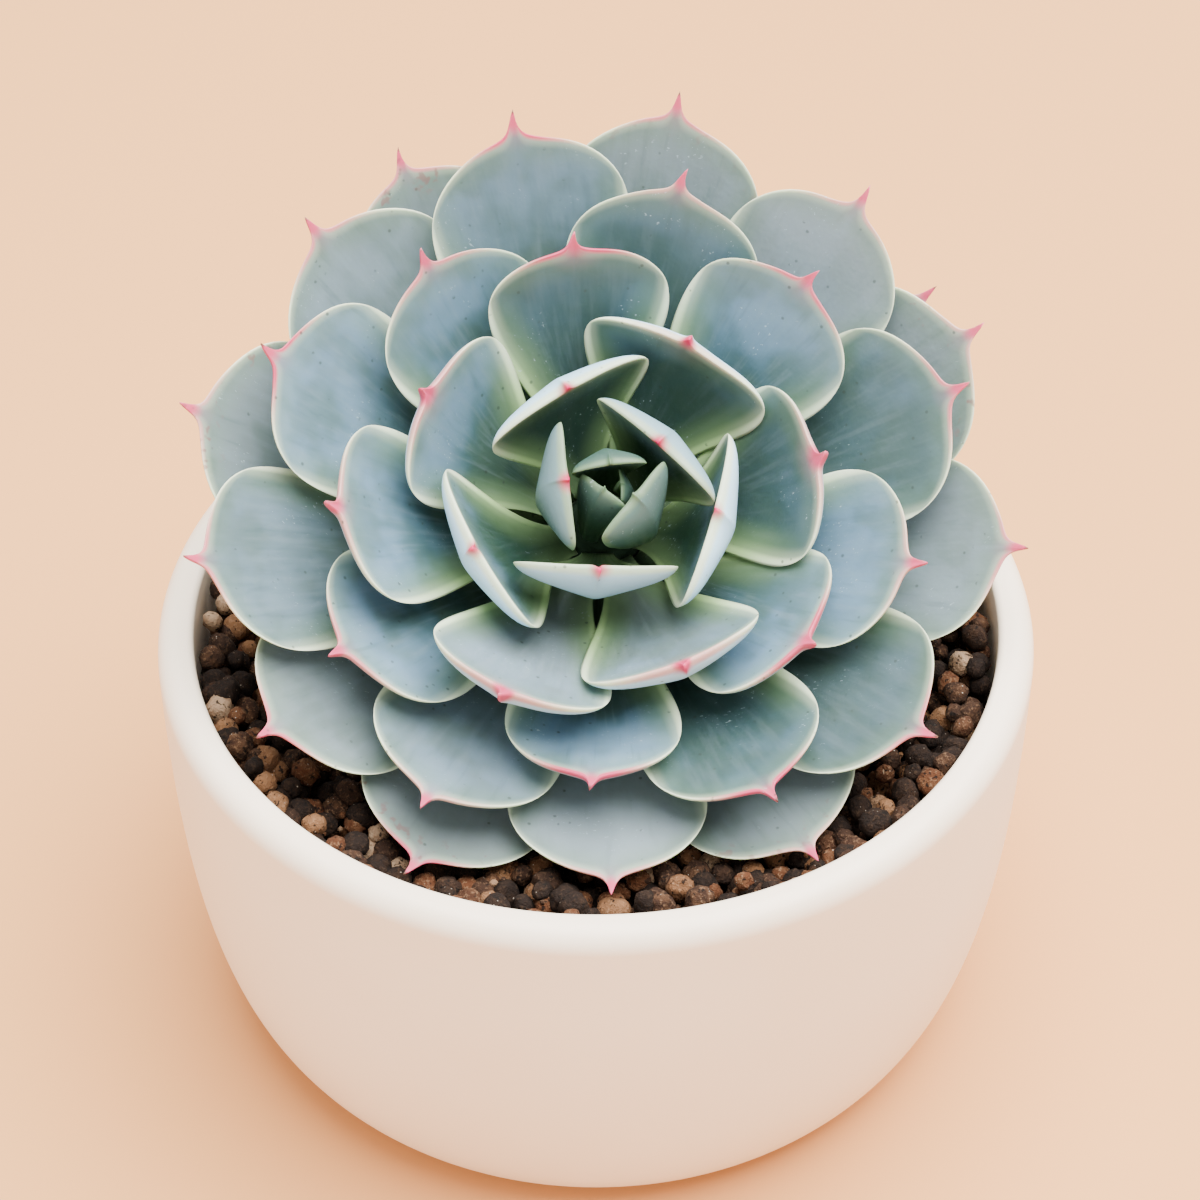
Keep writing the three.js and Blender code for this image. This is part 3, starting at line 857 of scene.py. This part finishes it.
def layer_spots(draw, ceiling, layer):
    """Centre, radius and tone of each granule of one layer, drawn inwards at the wall."""
    spots = []
    row_pitch = GRANULE_PITCH * math.sqrt(3) / 2
    rows = int(GRANULE_LIMIT / row_pitch) + 1
    for row in range(-rows, rows + 1):
        for column in range(-rows - 2, rows + 3):
            radius = draw.uniform(*GRANULE_RADIUS)
            x = (column + (row % 2) / 2 + layer * LAYER_SHIFT[0]) * GRANULE_PITCH
            x += draw.uniform(-GRANULE_JITTER, GRANULE_JITTER)
            y = (row + layer * LAYER_SHIFT[1]) * row_pitch
            y += draw.uniform(-GRANULE_JITTER, GRANULE_JITTER)
            out = math.hypot(x, y)
            rise = np.interp(y, FRONT_AND_BACK, WALL_RISE) * np.interp(out, WALL_BAND, (0, 1))
            z = BED_HEIGHT + LAYER_HEIGHTS[layer] + float(rise)
            z += draw.uniform(-HEIGHT_JITTER, HEIGHT_JITTER)
            tone = draw.random()
            kept = draw.random() < LAYER_FILL[layer] or out > FULL_RING
            limit = GRANULE_LIMIT - radius
            if not kept or out > limit + GRANULE_PITCH / 2:
                continue
            if out > limit:
                x *= limit / out
                y *= limit / out
            spots.append((x, y, headroom(ceiling, x, y, z, radius), radius, tone))
    return spots


def grit_spots(draw, ceiling):
    """Centre, radius and tone of each grain of grit."""
    spots = []
    for _ in range(GRIT_COUNT):
        radius = draw.uniform(*GRIT_RADIUS)
        out = (GRANULE_LIMIT - radius) * math.sqrt(draw.random())
        angle = draw.uniform(0, 2 * math.pi)
        x = out * math.cos(angle)
        y = out * math.sin(angle)
        z = BED_HEIGHT + draw.uniform(*GRIT_HEIGHT)
        tone = draw.uniform(*GRIT_TONE)
        spots.append((x, y, headroom(ceiling, x, y, z, radius), radius, tone))
    return spots


def granule_shape(unit, draw, radius):
    """One rough granule about the origin: a sphere with flats and lumps."""
    seed = Vector([draw.uniform(0, 100) for _ in range(3)])
    size = np.ones(len(unit))
    for _ in range(FLAT_COUNT):
        normal = np.array([draw.gauss(0, 1) for _ in range(3)])
        normal /= np.linalg.norm(normal)
        flat = draw.uniform(*FLAT_DISTANCE)
        facing = unit @ normal
        cut = flat / np.maximum(facing, FLAT_FACING)
        size = np.minimum(size, np.where(facing > FLAT_FACING, cut, 2))
    lumps = sum(depth * np.array([noise.noise(Vector(v) * fineness + seed) for v in unit])
                for depth, fineness in LUMPS)
    stretch = np.array([draw.uniform(*reach) for reach in STRETCH])
    turn = np.array(Euler([draw.uniform(0, ANY_TURN) for _ in range(3)]).to_matrix())
    return (unit * (size + lumps)[:, None] * stretch * radius) @ turn.T


def piece_of(x, y, z, radius):
    """Name of the piece that a granule belongs to, and how finely it is shaped."""
    if radius < GRIT_RADIUS[1]:
        return "soil_grit", 1
    side = "left" if x < 0 else "right"
    if y < -FINE_FRONT and math.hypot(x, y) > FINE_RING and z > BED_HEIGHT - FINE_DEPTH:
        return f"soil_front_{side}", 3
    return f"soil_bed_{side}", 2


def make_granules(leaves, material):
    draw = random.Random(SOIL_SEED)
    ceiling = leaf_ceiling(leaves)
    spots = []
    for layer in range(len(LAYER_HEIGHTS)):
        spots += layer_spots(draw, ceiling, layer)
    spots += grit_spots(draw, ceiling)
    pieces = {}
    for spot in spots:
        pieces.setdefault(piece_of(*spot[:4]), []).append(spot)
    for (name, level), chosen in pieces.items():
        unit, unit_faces = unit_sphere(level)
        bodies = [granule_shape(unit, draw, radius) + (x, y, z) for x, y, z, radius, _ in chosen]
        faces = np.concatenate([unit_faces + k * len(unit) for k in range(len(chosen))])
        tones = np.repeat([tone for *_, tone in chosen], len(unit))
        piece = make_object(name, np.concatenate(bodies), faces.tolist(), material,
                            attributes={"tone": tones})
        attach(piece, "root")


def make_soil_core(material):
    """A plain dark bed that closes the gaps between the granules; its near black is painted shade
    deep between them.
    """
    top = BED_HEIGHT - CORE_DEPTH
    vertices, faces = turned([*CORE_FOOT, (GRANULE_LIMIT, top), (0, top)], CORE_SIDES)
    tones = [CORE_SHADE_TONE] * len(vertices)
    bed = make_object("soil_core", vertices, faces, material, attributes={"tone": tones})
    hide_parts("soil")
    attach(bed, "root")


# Stage

def add_area_light(name, position, target, size, power, colour):
    data = bpy.data.lights.new(name, "AREA")
    data.shape = "DISK"
    data.size = size
    data.energy = power
    data.color = colour
    light = bpy.data.objects.new(name, data)
    light.location = position
    aim = Vector(target) - Vector(position)
    light.rotation_euler = aim.to_track_quat("-Z", "Y").to_euler()
    bpy.context.collection.objects.link(light)


def make_stage():
    corners = [(x * FLOOR_REACH, y * FLOOR_REACH, -FLOOR_DROP)
               for x, y in ((-1, -1), (1, -1), (1, 1), (-1, 1))]
    floor = make_object("studio_floor", corners, [(0, 1, 2, 3)], floor_material(), smooth=False)
    world = bpy.data.worlds.new("studio_world")
    world.use_nodes = True
    background = world.node_tree.nodes["Background"]
    background.inputs["Color"].default_value = (*WORLD_COLOUR, 1)
    background.inputs["Strength"].default_value = WORLD_STRENGTH
    bpy.context.scene.world = world
    add_area_light("window", position=(0.20, 0.06, 0.98), target=(0, 0, 0.06), size=1.15,
                   power=55.0, colour=(1.0, 0.98, 0.96))
    add_area_light("fill", position=(-0.45, -0.85, 0.30), target=(0, 0, 0.03), size=0.9,
                   power=5.0, colour=(1.0, 0.93, 0.86))


def make_camera():
    data = bpy.data.cameras.new("photo_camera")
    data.sensor_width = SENSOR
    data.sensor_fit = "HORIZONTAL"
    data.lens = FOCAL_PIXELS / PHOTO_SIZE * SENSOR
    data.clip_start = CLIP_START
    camera = bpy.data.objects.new("photo_camera", data)
    target = Vector(VIEW_TARGET) * MM
    back = Vector((0, -math.cos(VIEW_ELEVATION), math.sin(VIEW_ELEVATION))) * VIEW_DISTANCE * MM
    camera.location = target + back
    camera.rotation_euler = (math.pi / 2 - VIEW_ELEVATION, 0, 0)
    bpy.context.collection.objects.link(camera)
    bpy.context.scene.camera = camera


make_camera()
make_stage()
make_pot()
make_stem()
wax = leaf_material()
places = [place for place in range(LAST_PLACE + 1) if place not in EMPTY_PLACES]
leaf_objects = [make_leaf(place, k + 1, wax) for k, place in enumerate(places)]
clay = granule_material()
make_granules(leaf_objects, clay)
make_soil_core(clay)
